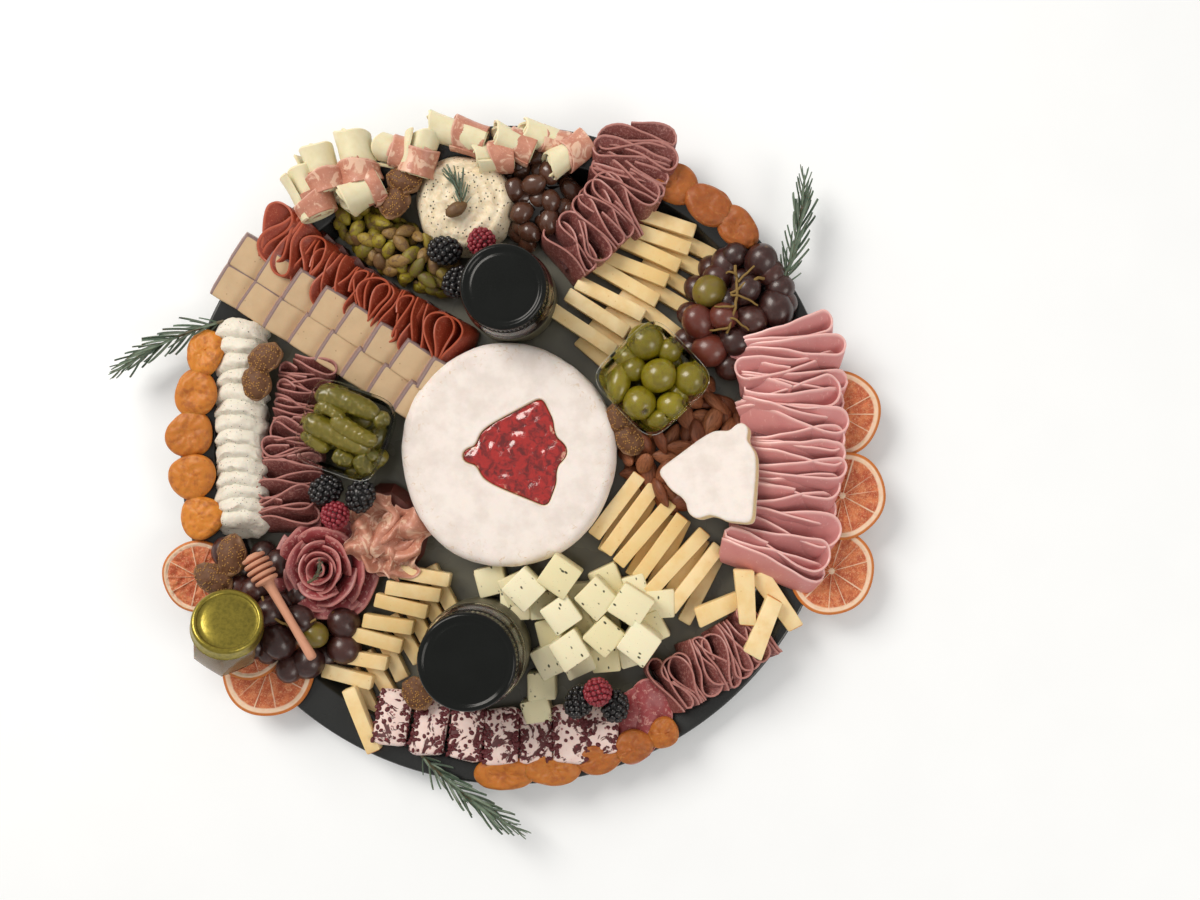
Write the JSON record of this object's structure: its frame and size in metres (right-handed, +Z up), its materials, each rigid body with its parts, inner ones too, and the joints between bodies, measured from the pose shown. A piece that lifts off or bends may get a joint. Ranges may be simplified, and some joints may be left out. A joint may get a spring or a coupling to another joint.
{
  "type": "charcuterie board",
  "caption": "Round black tray of cheeses, folded meats, fruit, nuts, cups, small jars and a brie with a jam-filled bell cut-out.",
  "frame": {"origin": "centre of the tray's flat underside, on the surface it stands on", "axes": "+Z up; +X to the picture's right, along the longest extent; +Y to the picture's top"},
  "size_m": [0.5387, 0.4995, 0.0854],
  "materials": {
    "tray_plastic": "black moulded tray, soft satin",
    "white_rind": "bloomy white cheese rind, dull",
    "jam": "wet red fruit jam, glossy and see-through at the surface",
    "herb_cheese": "soft white cheese with herb specks",
    "yellow_cheese": "pale yellow cut cheese",
    "pepper_cheese": "ivory cheese with dark herb specks",
    "cranberry_cheese": "white cheese with dark red fruit pieces",
    "rind_cheese": "ivory slices with a grey-purple rind",
    "dark_jar": "glass jar with a glossy black lid and dark contents",
    "honey_jar": "six-sided glass jar of honey with a gold lid",
    "pale_wood": "plain turned beech",
    "clear_cup": "clear thin cup",
    "olive": "wet green olives",
    "pickle": "wet bumpy green pickles",
    "pistachio": "green and brown nut kernels",
    "chocolate": "dark chocolate coating",
    "almond": "brown almond skin",
    "grape": "dark red and green grape skin",
    "salami": "sliced salami, dark red with pale fat",
    "spicy_salami": "red spicy salami",
    "ham": "thin pink sliced ham",
    "cured_ham": "cured ham with white fat",
    "apricot": "dried apricot",
    "citrus": "dried citrus slice",
    "dark_berry": "black drupelets",
    "red_berry": "red drupelets",
    "fig": "dried fig",
    "herb": "rosemary leaf"
  },
  "bodies": {
    "root": {"tray": "tray_plastic", "brie_wheel": "white_rind", "brie_bell": "white_rind", "fruit_jam": "jam", "herb_cheese": "herb_cheese", "goat_cheese": "herb_cheese", "cheese_sticks_top": "yellow_cheese", "cheese_sticks_right": "yellow_cheese", "cheese_sticks_left": "yellow_cheese", "cheese_wedges": "yellow_cheese", "herb_cheese_cubes": "pepper_cheese", "cranberry_cheese": "cranberry_cheese", "rind_cheese": "rind_cheese", "preserve_jar": "dark_jar", "spread_jar": "dark_jar", "honey_jar": "honey_jar", "honey_dipper": "pale_wood", "olive_cup": "clear_cup", "pickle_cup": "clear_cup", "olives": "olive", "pickles": "pickle", "pistachios": "pistachio", "chocolate_almonds": "chocolate", "almonds": "almond", "grapes_right": "grape", "grapes_left": "grape", "salami_top": "salami", "salami_left": "salami", "salami_bottom": "salami", "salami_flat": "salami", "salami_rose": "salami", "spicy_salami": "spicy_salami", "ham_folds": "ham", "cured_ham": "cured_ham", "ham_rolls_left": "cured_ham", "ham_rolls_middle": "cured_ham", "ham_rolls_right": "cured_ham", "apricots_top": "apricot", "apricots_left": "apricot", "apricots_bottom": "apricot", "citrus_right": "citrus", "citrus_left": "citrus", "citrus_bottom": "citrus", "dark_berry_1a": "dark_berry", "dark_berry_1b": "dark_berry", "dark_berry_2a": "dark_berry", "dark_berry_2b": "dark_berry", "dark_berry_3a": "dark_berry", "dark_berry_3b": "dark_berry", "red_berry_1": "red_berry", "red_berry_2": "red_berry", "red_berry_3": "red_berry", "figs_top": "fig", "figs_left": "fig", "figs_centre": "fig", "figs_lower": "fig", "figs_bottom": "fig", "rosemary_right": "herb", "rosemary_left": "herb", "rosemary_bottom": "herb"}
  },
  "joints": []
}
